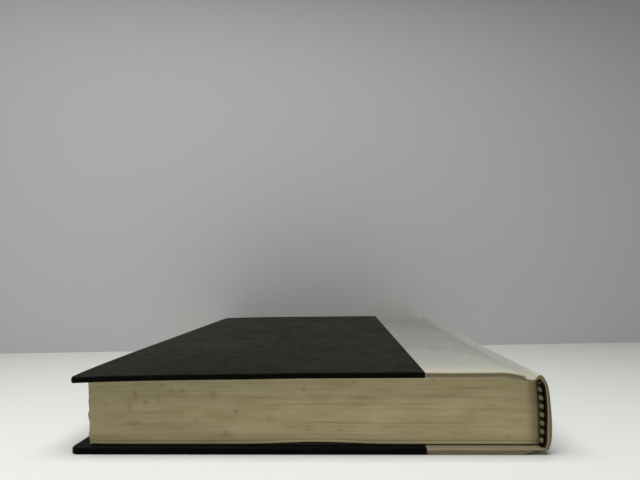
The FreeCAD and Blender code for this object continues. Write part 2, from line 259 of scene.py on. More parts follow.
def foot_lift(x, y):
    """Gap under the lowest leaf: a bell along the head edge and a curl at its corner, fading inwards."""
    bell = FOOT_LIFT * np.exp(-((x - FOOT_LIFT_SPOT) / FOOT_LIFT_REACH) ** 2)
    curl = CORNER_LIFT * np.exp((block_low[0] - x) / CORNER_LIFT_REACH)
    return (bell + curl) * np.exp((block_low[1] - y) / LIFT_DEPTH)


def grid_faces(rows, columns, first=0, flip=False, close_columns=False):
    """Quads of a grid of points stored row by row."""
    numbers = first + np.arange(rows * columns).reshape(rows, columns)
    if close_columns:
        numbers = np.concatenate([numbers, numbers[:, :1]], axis=1)
    quads = np.stack([numbers[:-1, :-1], numbers[1:, :-1], numbers[1:, 1:], numbers[:-1, 1:]], axis=-1)
    quads = quads.reshape(-1, 4)
    return quads[:, ::-1] if flip else quads


def attach_vectors(item, name, vectors):
    """A vector for each vertex, for patterns that follow the surface."""
    attribute = item.data.attributes.new(name, "FLOAT_VECTOR", "POINT")
    attribute.data.foreach_set("vector", np.asarray(vectors, np.float32).ravel())


def smooth_noise(draw, places, step, rows=1):
    """Random values a step apart, joined by cosine slopes, for each row of places."""
    count = int(np.ptp(places) / step) + 3
    values = draw.normal(0, 1, (rows, count))
    spot = (places - places.min()) / step
    index = spot.astype(int)
    slope = (1 - np.cos(math.pi * (spot - index))) / 2
    return values[:, index] * (1 - slope) + values[:, index + 1] * slope


def stains(x, z, marks):
    """Darkness at each place: the strongest of the marks, each a bell in both directions."""
    darkness = np.zeros(np.broadcast(x, z).shape)
    for spot_x, spot_z, half_x, half_z, depth in marks:
        bell = np.exp(-(((x - spot_x) / half_x) ** 2 + ((z - spot_z) / half_z) ** 2) * 0.9)
        darkness = np.maximum(darkness, depth * bell)
    return darkness


def stack_of_leaves():
    """The block's sides as rows round its outline, closed by an upper and a lower face.

    Row k at a place on the outline lies at a share k of the height there, plus a wave that is
    nothing at the outermost rows. The fore edge leans out at the top, is tucked in at the foot
    and moves in and out with each group of leaves, and the head and tail edges do so faintly.
    """
    draw = np.random.default_rng(11)
    x_low, y_low, z_low = block_low
    x_high, y_high, z_high = block_high
    depth = book_top - z_high
    x_line = np.linspace(x_low, x_high, HEAD_COLUMNS + 1)
    y_line = np.linspace(y_low, y_high, FORE_COLUMNS + 1)
    back_line = np.linspace(y_low, y_high, BACK_COLUMNS + 1)
    x = np.concatenate([x_line[:-1], np.full(BACK_COLUMNS, x_high), x_line[:0:-1],
                        np.full(FORE_COLUMNS, x_low)])
    y = np.concatenate([np.full(HEAD_COLUMNS, y_low), back_line[:-1], np.full(HEAD_COLUMNS, y_high),
                        y_line[:0:-1]])
    count = len(x)
    share = np.linspace(0, 1, LEAF_ROWS)[:, None]
    height = share * (z_high - z_low)
    top = front_face(x, depth) + untwist(x, y, depth)
    wave = LEAF_WAVE * np.sin(np.pi * share) * sum(
        part * np.sin((x + WAVE_SLANT * y) / length + drift * share + start)
        for length, drift, start, part in LEAF_WAVES)
    z = (z_low + share * (top - z_low) + wave * np.clip((x_high - x) / WAVE_END, 0, 1)
         + foot_lift(x, y) * (1 - share) ** 4)
    fine = draw.normal(0, LEAF_UNEVEN, (LEAF_ROWS, 1))
    group = smooth_noise(draw, height[:, 0], GROUP_THICK, 2).T[:, :, None]
    end_share = np.sin(np.pi * share) ** 0.4
    at_fore = np.clip(1 - (x - x_low) / EDGE_BLEND, 0, 1) ** 2
    at_ends = (np.abs(y) > y_high - 0.01) * np.sign(y)
    tucked = FOOT_TUCK * np.clip(1 - height / TUCK_HEIGHT, 0, 1)
    fore_shift = (FORE_SHY + FORE_LEAN * (0.5 - share) + tucked
                  - (GROUP_UNEVEN * group[:, 0] + fine) * end_share)
    end_shift = (END_UNEVEN * group[:, 1] + fine) * end_share
    points = np.stack(np.broadcast_arrays(x + fore_shift * at_fore, y + end_shift * at_ends, z),
                      axis=-1)
    faces = list(grid_faces(LEAF_ROWS, count, flip=True, close_columns=True))
    head = list(range(HEAD_COLUMNS + 1))
    tail = list(range(HEAD_COLUMNS + BACK_COLUMNS, 2 * HEAD_COLUMNS + BACK_COLUMNS + 1))[::-1]
    fore = list(range(2 * HEAD_COLUMNS + BACK_COLUMNS + 1, count))[::-1]
    back = list(range(HEAD_COLUMNS + 1, HEAD_COLUMNS + BACK_COLUMNS))[::-1]
    strips = [[head[0], *fore, tail[0], tail[1], head[1]]]
    strips += [[head[i], tail[i], tail[i + 1], head[i + 1]] for i in range(1, HEAD_COLUMNS - 1)]
    strips.append([head[-2], tail[-2], tail[-1], *back, head[-1]])
    for base, step in ((0, 1), ((LEAF_ROWS - 1) * count, -1)):
        faces += [[base + number for number in strip[::step]] for strip in strips]
    item = lay_mesh("leaves", points.reshape(-1, 3), faces)
    flat = np.stack(np.broadcast_arrays(x, y, height), axis=-1)
    attach_vectors(item, "stack", flat.reshape(-1, 3))
    place = flat + (0, 0, z_low)
    marks = stains(place[..., 0], place[..., 2], HEAD_FOXING) * (y < y_low + 0.01)
    on_fore = place[..., 1] * (x < x_low + 0.01)
    on_tail = (place[..., 0] + CLEAR_OF_ZERO) * (y > y_high - 0.01)
    for along in (on_fore, on_tail):
        spots = [(draw.choice(along.ravel()), z_low + draw.uniform(*SPOT_HEIGHTS),
                  draw.uniform(*SPOT_HALF_LENGTHS), draw.uniform(*SPOT_HALF_HEIGHTS),
                  draw.uniform(*SPOT_DEPTHS)) for _ in range(OTHER_SPOTS // 2)]
        marks = np.maximum(marks, stains(along, place[..., 2], spots) * (along != 0))
    attach_vectors(item, "foxing", np.stack([marks, marks, marks], axis=-1).reshape(-1, 3))
    return item


def follow(tree, name):
    """The vector that a mesh carries under that name."""
    return add_node(tree, "Attribute", attribute_name=name).outputs["Vector"]


def stretch(tree, vector, scale):
    """A vector with its axes scaled, so that one step of noise is that many parts of a millimetre."""
    return add_node(tree, "Mapping", {"Vector": vector, "Scale": scale}).outputs[0]


def colour_ramp(tree, share, *stops):
    """The colour at a share, between stops that are each a place and an sRGB hex colour."""
    node = add_node(tree, "ValToRGB", {"Fac": share})
    elements = node.color_ramp.elements
    for index, (place, colour) in enumerate(stops):
        element = elements[index] if index < 2 else elements.new(place)
        element.position = place
        element.color = linear(colour)
    return node.outputs[0]


def remap(tree, value, old, new=(0.0, 1.0), shape="SMOOTHSTEP"):
    """A value taken from its old range to a new one, by an eased step or in a straight line."""
    ends = {"From Min": old[0], "From Max": old[1], "To Min": new[0], "To Max": new[1]}
    return add_node(tree, "MapRange", {"Value": value, **ends}, interpolation_type=shape).outputs[0]


def mix_colours(tree, share, below, above, blend_type="MIX"):
    """The colour of one layer laid over another by a share."""
    sockets = {0: share, 6: below, 7: above}
    return add_node(tree, "Mix", sockets, data_type="RGBA", blend_type=blend_type).outputs[2]


# Book paper, uncoated and toned: no gloss, faint streaks where groups of leaves meet the light
# differently, foxing, dust and painted shade towards the glued back, and a paler endpaper at top and
# bottom.
leaf_paper, tree, output = start_material("toned_book_paper")
stack = follow(tree, "stack")
place = add_node(tree, "SeparateXYZ", {0: stack})
cloud = add_node(tree, "TexNoise", {"Vector": stretch(tree, stack, (0.07, 0.07, 0.28)), "Scale": 1.0,
                                    "Detail": 5.0, "Roughness": 0.6})
streak = add_node(tree, "TexNoise", {"Vector": stretch(tree, stack, (0.02, 0.02, 0.9)), "Scale": 1.0,
                                     "Detail": 5.0, "Roughness": 0.6})
both = add_node(tree, "Mix", {0: 0.4, 2: cloud.outputs["Fac"], 3: streak.outputs["Fac"]})
tone = colour_ramp(tree, both.outputs[0], (0.33, PAGE_DARK), (0.67, PAGE_LIGHT))
line = add_node(tree, "TexNoise", {"Vector": stretch(tree, stack, (0.010, 0.010, 4.5)), "Scale": 1.0,
                                   "Detail": 2.0, "Roughness": 0.6})
lines = colour_ramp(tree, line.outputs["Fac"], (0.30, "#d8d3c8"), (0.45, "#ffffff"))
lined = mix_colours(tree, 0.35, tone, lines, "MULTIPLY")
height_share = add_node(tree, "Math", {0: place.outputs[2], 1: block_high[2] - block_low[2]},
                        operation="DIVIDE")
end_leaves = colour_ramp(tree, height_share.outputs[0], (0.0, "#ffffff"), (0.030, "#ffffff"),
                         (0.040, "#ccc5b6"), (0.058, "#efede7"), (0.975, "#efede7"),
                         (0.99, "#ffffff"))
ended = mix_colours(tree, 1.0, lined, end_leaves, "MULTIPLY")
fore_dust = remap(tree, place.outputs[0], (block_low[0], 30.0), (0.22, 0.0))
thumbed = mix_colours(tree, fore_dust, ended, linear(PAGE_DUST_AND_SHADE))
ragged = add_node(tree, "TexNoise", {"Vector": stretch(tree, stack, (1.1, 1.1, 2.2)), "Scale": 1.0,
                                     "Detail": 3.0, "Roughness": 0.6})
foxing = add_node(tree, "Math", {0: ragged.outputs["Fac"], 1: follow(tree, "foxing")},
                  operation="MULTIPLY")
foxed = mix_colours(tree, foxing.outputs[0], thumbed, linear(PAGE_FOXED))
# Darker towards the glued back: dust, and painted shade where the leaves meet the band.
back_dust_and_shade = remap(tree, place.outputs[0], (block_high[0] - 5.0, block_high[0] + 0.6), (0.0, 0.6),
                  "SMOOTHERSTEP")
dusted_and_shaded = mix_colours(tree, back_dust_and_shade, foxed, linear(PAGE_DUST_AND_SHADE))
relief = add_node(tree, "Bump", {"Height": line.outputs["Fac"], "Strength": 0.15, "Distance": 0.05 * MM})
paper = add_node(tree, "BsdfPrincipled", {"Base Color": dusted_and_shaded, "Roughness": 0.95,
                                          "Specular IOR Level": 0.1, "Normal": relief.outputs[0]})
tree.links.new(paper.outputs[0], output.inputs["Surface"])

leaves = stack_of_leaves()
leaves.data.materials.append(leaf_paper)
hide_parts("text_block")
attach(leaves, "book_block")

# Boards: grey board, cut square and bumped round at the corners, more so at the tail of the
# front one. Both lie wholly inside their covering, which is glued to them.
BOARD_EDGE = 0.55
SKIN = 0.25
CORNER_ROUND = {"front": (2.2, 5.0), "back": (3.3, 3.3)}
EDGE_STEPS = 9
EDGE_POWER = 0.62
LINES_BEHIND_EDGE = (1.3, 1.7, 2.2, 3.0, 4.2)
BOARD_STEPS, BOARD_COLUMNS = 60, 16
# Points closer than the first and edges shorter than the second are merged away.
MERGE_WITHIN, SPECK = 0.0003, 0.0001
SHARP_FROM = math.radians(50)


def layer(piece):
    """Outer and inner depth of a layer in a cover, as the flat back cover has them."""
    low, high = span("back_" + piece)
    return low[2], high[2]


def face_height(side, x, depth):
    """Height over x of a cover's layer, at a depth under that cover's outside."""
    if side == "front":
        return front_face(x, depth)
    return np.full(np.shape(x), float(depth))


def edge_profile(round_off):
    """Way in from an edge, and share of the thickness there: a squared-off half round.

    Both are powers of the cosine and sine of an angle from the middle of the edge to its face.
    """
    angle = np.linspace(0, math.pi / 2, EDGE_STEPS)
    inwards = round_off * (1 - np.cos(angle) ** EDGE_POWER)
    inwards[-1] = round_off
    return inwards, np.sin(angle) ** EDGE_POWER


def across_cover(half_length, round_off, steps):
    """Places from head to tail, dense at both edges, and the share of the thickness at each."""
    inwards, share = edge_profile(round_off)
    inwards = np.concatenate([inwards, round_off * np.array(LINES_BEHIND_EDGE)])
    share = np.append(share, np.ones(len(LINES_BEHIND_EDGE)))
    middle = np.linspace(-half_length + inwards[-1], half_length - inwards[-1], steps)[1:-1]
    y = np.concatenate([-half_length + inwards, middle, half_length - inwards[::-1]])
    return y, np.concatenate([share, np.ones(len(middle)), share[::-1]])


def cover_section(side, x_from, x_to, depths, round_off, steps, open_end=False, sink=0.0):
    """Outer and inner face of a plate in section, closed at the fore edge and mostly at the other.

    Each face is the mean height of the plate's two depths, plus or less half the thickness times
    the edge's share. Past the cover's hinge edge the plate sinks evenly, by sink at its end.
    """
    inwards, share = edge_profile(round_off)
    between = np.linspace(x_from + round_off, x_to - round_off, steps)[1:-1]
    x = np.concatenate([x_from + inwards, between])
    part = np.concatenate([share, np.ones(steps - 2)])
    if open_end:
        x = np.append(x, [x_to - round_off, x_to])
        part = np.append(part, [1.0, 1.0])
    else:
        x = np.concatenate([x, x_to - inwards[::-1]])
        part = np.concatenate([part, share[::-1]])
    outer, inner = (face_height(side, x, depth) for depth in depths)
    if sink:
        fall = sink * np.clip((x - hinge_x) / (x_to - hinge_x), 0, 1)
        outer, inner = (height + (-fall if side == "front" else fall) for height in (outer, inner))
    mean = (outer + inner) / 2
    half = (outer - inner) / 2 * part
    return np.stack([x, mean + half], axis=-1), np.stack([x, mean - half], axis=-1)


def folded_sheet(name, outer, inner, y, share, side, opening=None):
    """Both faces of a plate or a folded skin, from its section and its places along Y.

    At a place y the two faces draw together by the share of the thickness there, so that head and
    tail edges close. The inner face is left out past opening's x and within its distance from y = 0.
    """
    outer, inner = outer[:, None, :], inner[:, None, :]
    mean, half = (outer + inner) / 2, (outer - inner) / 2 * share[None, :, None]
    rows, columns = half.shape[0], len(y)
    faces_xz = [mean + half, mean - half]
    points = [np.stack([face[..., 0], np.broadcast_to(y, (rows, columns)), face[..., 1]], axis=-1)
              for face in faces_xz]
    up_side = side == "front"
    quads = grid_faces(rows, columns, flip=not up_side)
    under = grid_faces(rows, columns, first=rows * columns, flip=up_side)
    if opening:
        middle = np.concatenate(points).reshape(-1, 3)[under].mean(axis=1)
        under = under[~((middle[:, 0] > opening[0]) & (np.abs(middle[:, 1]) < opening[1]))]
    return lay_mesh(name, np.concatenate(points).reshape(-1, 3), [*quads, *under])


def points_of(item):
    """The x, y and z of every vertex of a mesh, in millimetres."""
    points = np.zeros(len(item.data.vertices) * 3)
    item.data.vertices.foreach_get("co", points)
    return (points.reshape(-1, 3) / MM).T


def place_points(item, x, y, z):
    """Puts every vertex of a mesh at its new x, y and z in millimetres."""
    item.data.vertices.foreach_set("co", (np.stack([x, y, z], axis=-1) * MM).ravel())
    item.data.update()


def ease_corners(item, side, half_length, skin=0.0):
    """Rounds the fore-edge corners in plan: the edge draws in as a circle, of one radius at each end."""
    x, y, z = points_of(item)
    radius = np.where(y < 0, *CORNER_ROUND[side]) + skin
    over = np.clip(np.abs(y) - (half_length - radius), 0, radius)
    drawn = radius - np.sqrt(radius ** 2 - over ** 2)
    near = np.clip(1 - (x - fore_x) / (4 * radius), 0, 1)
    place_points(item, x + drawn * near, y, z)


def join_and_smooth(item, thickness=None):
    """Merges the points where the faces meet, gives the skin its thickness inwards, and smooths."""
    shell = bmesh.new()
    shell.from_mesh(item.data)
    bmesh.ops.remove_doubles(shell, verts=shell.verts, dist=MERGE_WITHIN * MM)
    bmesh.ops.dissolve_degenerate(shell, edges=shell.edges, dist=SPECK * MM)
    shell.to_mesh(item.data)
    shell.free()
    if thickness:
        wall_of_skin = item.modifiers.new("skin", "SOLIDIFY")
        wall_of_skin.thickness = thickness * MM
        wall_of_skin.offset = -1
        final = item.evaluated_get(bpy.context.evaluated_depsgraph_get())
        finished = bpy.data.meshes.new_from_object(final)
        item.modifiers.clear()
        item.data = finished
    item.data.shade_smooth()
    item.data.set_sharp_from_angle(angle=SHARP_FROM)


def settle(item, side, depth, swung=True):
    """Gives a layer of the front cover that cover's twist and, where it is fixed to it, its swing."""
    if side == "front":
        x, y, z = points_of(item)
        place_points(item, x + swung * swing(x, y), y, z + untwist(x, y, depth))


def board(side):
    """Grey board: a plate between two faces of the cover, a skin inside its outline."""
    low, high = span(side + "_board")
    outer, inner = cover_section(side, low[0], high[0], layer("board"), BOARD_EDGE, BOARD_STEPS)
    y, share = across_cover(high[1], BOARD_EDGE, BOARD_COLUMNS)
    item = folded_sheet(side + "_grey_board", outer, inner, y, share, side)
    ease_corners(item, side, high[1])
    settle(item, side, SKIN)
    join_and_smooth(item)
    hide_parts(side + "_board")
    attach(item, side + "_cover")
    return item


# Grey board: pressed waste paper, matt, with fibres and specks of a few tenths of a millimetre.
grey_board, tree, output = start_material("grey_board")
where = add_node(tree, "TexCoord").outputs["Object"]
fibre = add_node(tree, "TexNoise", {"Vector": where, "Scale": 2.5 / MM, "Detail": 4.0})
tint = colour_ramp(tree, fibre.outputs["Fac"], (0.35, "#7d766a"), (0.65, "#a39c8f"))
pulp = add_node(tree, "BsdfPrincipled", {"Base Color": tint, "Roughness": 0.95,
                                         "Specular IOR Level": 0.1})
tree.links.new(pulp.outputs[0], output.inputs["Surface"])
for side in ("front", "back"):
    board(side).data.materials.append(grey_board)

# Side papers: near-black dyed paper with a dull face, glued over each board and folded round
# its head, tail and fore edge. The face carries a few faint flecks.
PAPER_DARK = "#040403"
PAPER_LIGHT = "#0c0c0a"
PAPER_FLECK = "#6b6a62"
PAPER_HAZE = "#f9fbdd"
COVER_EDGE = 0.8
TURN_IN = 15.0
PAPER_STEPS, PAPER_COLUMNS = 90, 90


def side_paper(side):
    """The paper's outer skin with its turn-ins, as one folded sheet given the paper's thickness."""
    low, high = span(side + "_side_paper")
    outer, inner = cover_section(side, low[0], seam_x, layer("side_paper"), COVER_EDGE,
                                 PAPER_STEPS, open_end=True)
    y, share = across_cover(high[1], COVER_EDGE, PAPER_COLUMNS)
    item = folded_sheet(side + "_side_paper_wrap", outer, inner, y, share, side,
                        opening=(low[0] + TURN_IN, high[1] - TURN_IN))
    ease_corners(item, side, high[1], SKIN)
    settle(item, side, 0.0)
    join_and_smooth(item, SKIN)
    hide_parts(side + "_side_paper")
    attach(item, side + "_cover")
    return item


# Dyed paper: close to black and nearly matt, with a nap of fibres that gives a grey haze at a
# low angle. Fibres run across the book in streaks of a few millimetres.
dyed_paper, tree, output = start_material("black_dyed_paper")
where = add_node(tree, "TexCoord").outputs["Object"]
fibres = add_node(tree, "TexNoise", {"Vector": stretch(tree, where, (0.24 / MM, 0.8 / MM, 0.8 / MM)),
                                     "Scale": 1.0, "Detail": 5.0, "Roughness": 0.6})
cloud = add_node(tree, "TexNoise", {"Vector": where, "Scale": 0.03 / MM, "Detail": 8.0,
                                    "Roughness": 0.72})
depth_tone = colour_ramp(tree, fibres.outputs["Fac"], (0.3, PAPER_DARK), (0.7, PAPER_LIGHT))
flecks = add_node(tree, "TexNoise", {"Vector": stretch(tree, where, (0.22 / MM, 0.35 / MM, 0.9 / MM)),
                                     "Scale": 1.0, "Detail": 3.0, "Roughness": 0.6})
fleck_share = colour_ramp(tree, flecks.outputs["Fac"], (0.68, "#000000"), (0.76, "#707070"))
flecked = mix_colours(tree, fleck_share, depth_tone, linear(PAPER_FLECK))
napped = add_node(tree, "Mix", {0: 0.68, 2: cloud.outputs["Fac"], 3: fibres.outputs["Fac"]})
haze = remap(tree, napped.outputs[0], (0.43, 0.57), (0.066, 0.205), "LINEAR")
grain = add_node(tree, "Bump", {"Height": fibres.outputs["Fac"], "Strength": 0.4, "Distance": 0.05 * MM})
satin = add_node(tree, "BsdfPrincipled", {"Base Color": flecked, "Roughness": 0.6,
                                          "Specular IOR Level": 0.03, "Sheen Weight": haze,
                                          "Sheen Roughness": 0.3, "Sheen Tint": linear(PAPER_HAZE),
                                          "Normal": grain.outputs[0]})
tree.links.new(satin.outputs[0], output.inputs["Surface"])
for side in ("front", "back"):
    side_paper(side).data.materials.append(dyed_paper)

# Spine cloth: one piece of silver-grey book cloth from board to board over the spine, dipped
# into a groove on each side and folded in at head and tail. It is drawn as two halves that meet
# in the middle of the spine, because each crosses the joint of one cover.
# Corners of the halves' sections, outside and turned-in side: way from the cover's hinge edge, and
# depth under the book's top for the front half or height above the table for the back half.
CLOTH_FRONT_OUT = [(-32.6, 0.0), (-20.7, 0.0), (-8.7, 0.0), (-4.2, 0.28), (-1.1, 0.75), (-0.1, 1.05),
                   (0.5, 1.55), (1.0, 2.15), (1.7, 2.45), (2.7, 2.6), (3.6, 2.4), (4.25, 1.8),
                   (4.8, 1.25), (5.6, 0.95), (6.5, 1.6), (7.6, 3.45), (8.25, 6.1), (8.55, 9.5),
                   (8.75, 13.5)]
CLOTH_FRONT_IN = [(-32.6, 2.0), (-20.7, 2.0), (-8.7, 2.0), (-4.4, 2.3), (-1.5, 2.85), (-0.6, 3.1),
                  (0.0, 3.15), (0.5, 3.2), (1.4, 3.25), (2.6, 3.3), (3.6, 3.2), (4.3, 2.9),
                  (4.9, 2.5), (5.5, 2.25), (6.1, 2.7), (6.8, 4.1), (7.2, 6.4), (7.35, 9.5),
                  (7.4, 13.5)]
CLOTH_BACK_OUT = [(-32.6, 0.0), (-18.7, 0.0), (-6.7, 0.0), (-2.2, 0.05), (-1.1, 0.15), (-0.1, 0.35),
                  (0.9, 0.6), (1.9, 0.88), (3.0, 1.15), (4.0, 1.28), (5.0, 1.2), (5.8, 1.02),
                  (6.5, 1.05), (7.4, 1.85), (8.2, 3.8), (8.65, 6.6), (8.8, 10.0), (8.75, 13.5)]
CLOTH_BACK_IN = [(-32.6, 2.0), (-18.7, 2.0), (-6.7, 2.0), (-2.4, 2.0), (-1.2, 1.98), (-0.3, 1.95),
                 (0.7, 1.93), (1.8, 1.93), (2.9, 1.95), (3.9, 1.98), (4.8, 1.95), (5.5, 1.85),
                 (6.0, 2.0), (6.5, 2.8), (6.85, 4.3), (7.0, 6.6), (7.2, 10.0), (7.4, 13.5)]
CLOTH_STEPS = 7
CLOTH_COLUMNS = 150
# Dust and painted shade in the creases of the cloth, at the board's edge and in the groove: way from the
# hinge edge, half width and strength. The turned-in side is painted dark as shade in the hollow from a
# way and a depth on.
CREASE_SHADES = ((0.6, 0.4, 0.6), (2.6, 0.5, 0.45))
HOLLOW_FROM, HOLLOW_UNDER = 5.6, 3.0


def smooth_path(corners, steps):
    """A curve through corners: between two of them the blend of the two parabolas next to them."""
    corners = np.array(corners, float)
    ends = np.concatenate([[2 * corners[0] - corners[1]], corners, [2 * corners[-1] - corners[-2]]])
    part = np.linspace(0, 1, steps, endpoint=False)[:, None]
    before, start, end, after = (ends[i:len(ends) - 3 + i, None, :] for i in range(4))
    curve = 0.5 * (2 * start + (end - before) * part
                   + (2 * before - 5 * start + 4 * end - after) * part ** 2
                   + (3 * start - before - 3 * end + after) * part ** 3)
    return np.concatenate([curve.reshape(-1, 2), corners[-1:]])


def cloth_curve(side, corners):
    """One side of a half's section as a curve, from the hinge edge and from the book's top or foot."""
    if side == "front":
        return smooth_path(np.array(corners) * (1, -1) + (hinge_x, book_top), CLOTH_STEPS)
    return smooth_path(np.array(corners) + (hinge_x, 0), CLOTH_STEPS)


def spine_cloth(side, out_corners, in_corners):
    """Half of the cloth: its face and its turned-in side, from the seam to the middle of the spine."""
    half_length = cloth_high[1]
    outer, inner = cloth_curve(side, out_corners), cloth_curve(side, in_corners)
    y, share = across_cover(half_length, COVER_EDGE, CLOTH_COLUMNS)
    item = folded_sheet(side + "_half_of_spine_cloth", outer, inner, y, share, side,
                        opening=(-np.inf, half_length - TURN_IN))
    run = np.concatenate([[0], np.cumsum(np.linalg.norm(np.diff(outer, axis=0), axis=1))])
    along = np.broadcast_to(run[:, None], (len(run), len(y)))
    flat_out = np.stack([along, np.broadcast_to(y, along.shape), np.zeros(along.shape)], axis=-1)
    flat_in = flat_out * (1, -1, 1) + (0, 0, 1)
    attach_vectors(item, "weave", np.concatenate([flat_out, flat_in]).reshape(-1, 3))
    rim = np.broadcast_to(1 - share, along.shape)
    past_hinge, past_hinge_in = outer[:, :1] - hinge_x, inner[:, :1] - hinge_x
    # Strength of dust and painted shade along the creases, and of painted shade in the hollow.
    crease_shade = sum(depth * np.exp(-((past_hinge - spot) / width) ** 2) for spot, width, depth in CREASE_SHADES)
    hollow_shade = (np.clip((past_hinge_in - HOLLOW_FROM) / 0.5, 0, 1)
              * np.clip((book_top - HOLLOW_UNDER - inner[:, 1:]) / 1.5, 0, 1)
              * np.clip((half_length - np.abs(y) - 0.1) / 0.4, 0, 1))
    none = np.zeros(along.shape)
    face = np.stack([rim, none, np.broadcast_to(crease_shade, rim.shape)], axis=-1)
    turned = np.stack([2 - rim, hollow_shade, none], axis=-1)
    attach_vectors(item, "rim", np.concatenate([face, turned]).reshape(-1, 3))
    join_and_smooth(item, SKIN)
    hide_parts(side + "_quarter_cloth", *(["spine_cloth"] if side == "front" else []))
    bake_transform(item)
    return item


# Book cloth: a filled plain weave, silver grey and nearly matt. Thicker threads show as slubs of
# a few millimetres both ways. The head is yellowed, the tail less so, and folds are brown with dust
# and painted shade. Creases carry dust and painted shade, and the hollow of the spine painted shade.
# From the groove's far wall on, the cloth is lightened by a painted highlight.
CLOTH_DARK = "#7c7c78"
CLOTH_LIGHT = "#9f9f9a"
# Painted highlight: the colour the cloth is lightened towards from the groove's far wall on.
CLOTH_PAINTED_LIGHT = "#c6c7c2"
CLOTH_WORN = "#a3a299"
CLOTH_YELLOWED = "#b3af9b"
# Brown of the folded edges: dust and painted shade.
CLOTH_SOIL_AND_SHADE = "#7c7055"
CLOTH_TURNED = "#948b72"
# Dust and painted shade in the creases.
CLOTH_CREASE_DUST_AND_SHADE = "#6d6b62"
# Painted shade on the turned-in side, deep in the hollow of the spine.
HOLLOW_SHADE = "#2a2111"
THREAD = 0.4
TAIL_SPARED = 6.0
WAVE_PERIOD = math.pi / 10

book_cloth, tree, output = start_material("silver_grey_book_cloth")
weave = follow(tree, "weave")
warp = add_node(tree, "TexWave", {"Vector": weave, "Scale": WAVE_PERIOD / THREAD, "Distortion": 1.5,
                                  "Detail": 1.0}, bands_direction="X")
weft = add_node(tree, "TexWave", {"Vector": weave, "Scale": WAVE_PERIOD / THREAD, "Distortion": 1.5,
                                  "Detail": 1.0}, bands_direction="Y")
threads = add_node(tree, "Math", {0: warp.outputs["Fac"], 1: weft.outputs["Fac"]}, operation="MULTIPLY")
slub_x = add_node(tree, "TexNoise", {"Vector": stretch(tree, weave, (0.25, 1.6, 1.0)), "Scale": 1.0,
                                     "Detail": 3.0, "Roughness": 0.6})
slub_y = add_node(tree, "TexNoise", {"Vector": stretch(tree, weave, (1.6, 0.25, 1.0)), "Scale": 1.0,
                                     "Detail": 3.0, "Roughness": 0.6})
slubs = add_node(tree, "Math", {0: slub_x.outputs["Fac"], 1: slub_y.outputs["Fac"]}, operation="ADD")
slub_share = remap(tree, slubs.outputs[0], (0.75, 1.25), shape="LINEAR")
tone = colour_ramp(tree, slub_share, (0.0, CLOTH_DARK), (1.0, CLOTH_LIGHT))
cloud = add_node(tree, "TexNoise", {"Vector": weave, "Scale": 0.05, "Detail": 4.0})
shade = colour_ramp(tree, cloud.outputs["Fac"], (0.3, "#f1f0ec"), (0.65, "#ffffff"))
cloth_tone = mix_colours(tree, 1.0, tone, shade, "MULTIPLY")
run = add_node(tree, "SeparateXYZ", {0: weave})
# Painted highlight: lighter from the groove's far wall on, over the shoulder and the spine.
painted_light_past_groove = remap(tree, run.outputs[0], (hinge_x - seam_x + 2.6, hinge_x - seam_x + 4.6), (0.0, 0.32),
                "LINEAR")
brightened = mix_colours(tree, painted_light_past_groove, cloth_tone, linear(CLOTH_PAINTED_LIGHT))
worn_edge = cloth_high[1] + TAIL_SPARED
where = add_node(tree, "TexCoord").outputs["Object"]
place = add_node(tree, "SeparateXYZ", {0: where})
towards_tail = add_node(tree, "Math", {0: place.outputs[1], 1: TAIL_SPARED * MM}, operation="SUBTRACT")
from_middle = add_node(tree, "Math", {0: towards_tail.outputs[0]}, operation="ABSOLUTE")
ragged = add_node(tree, "TexNoise", {"Vector": where, "Scale": 0.12 / MM, "Detail": 4.0})
edge_place = add_node(tree, "Math", {0: ragged.outputs["Fac"], 1: 4.0 * MM, 2: from_middle.outputs[0]},
                      operation="MULTIPLY_ADD")
wear = remap(tree, edge_place.outputs[0], ((worn_edge - 70.0) * MM, (worn_edge - 4.0) * MM),
             (0.0, 0.7))
worn = mix_colours(tree, wear, brightened, linear(CLOTH_WORN))
yellowing = remap(tree, edge_place.outputs[0], ((worn_edge - 16.0) * MM, (worn_edge + 3.0) * MM),
                  (0.0, 0.85))
yellowed = mix_colours(tree, yellowing, worn, linear(CLOTH_YELLOWED))
smudge = add_node(tree, "TexNoise", {"Vector": where, "Scale": 0.14 / MM, "Detail": 4.0,
                                     "Roughness": 0.6})
on_fold = add_node(tree, "SeparateXYZ", {0: follow(tree, "rim")})
rim = add_node(tree, "Math", {0: smudge.outputs["Fac"], 1: -0.9, 2: on_fold.outputs[0]},
               operation="MULTIPLY_ADD")
on_edge = remap(tree, rim.outputs[0], (-0.35, 0.1))
past_edge = remap(tree, rim.outputs[0], (0.75, 1.3))
# Folded edges brown with dust and painted shade, paler on the turned-in side.
edge_tone = mix_colours(tree, past_edge, linear(CLOTH_SOIL_AND_SHADE), linear(CLOTH_TURNED))
# Dust and painted shade along the creases.
crease_shaded = mix_colours(tree, on_fold.outputs[2], yellowed, linear(CLOTH_CREASE_DUST_AND_SHADE))
edged = mix_colours(tree, on_edge, crease_shaded, edge_tone)
# Painted shade on the turned-in side, deep in the hollow of the spine.
soiled_and_shaded = mix_colours(tree, on_fold.outputs[1], edged, linear(HOLLOW_SHADE))
nap = add_node(tree, "Math", {0: slub_share, 1: 1.5, 2: threads.outputs[0]},
               operation="MULTIPLY_ADD")
relief = add_node(tree, "Bump", {"Height": nap.outputs[0], "Strength": 0.35, "Distance": 0.05 * MM})
filled = add_node(tree, "BsdfPrincipled", {"Base Color": soiled_and_shaded, "Roughness": 0.75,
                                           "Specular IOR Level": 0.2, "Normal": relief.outputs[0]})
tree.links.new(filled.outputs[0], output.inputs["Surface"])
spine_cloth("front", CLOTH_FRONT_OUT, CLOTH_FRONT_IN).data.materials.append(book_cloth)
spine_cloth("back", CLOTH_BACK_OUT, CLOTH_BACK_IN).data.materials.append(book_cloth)

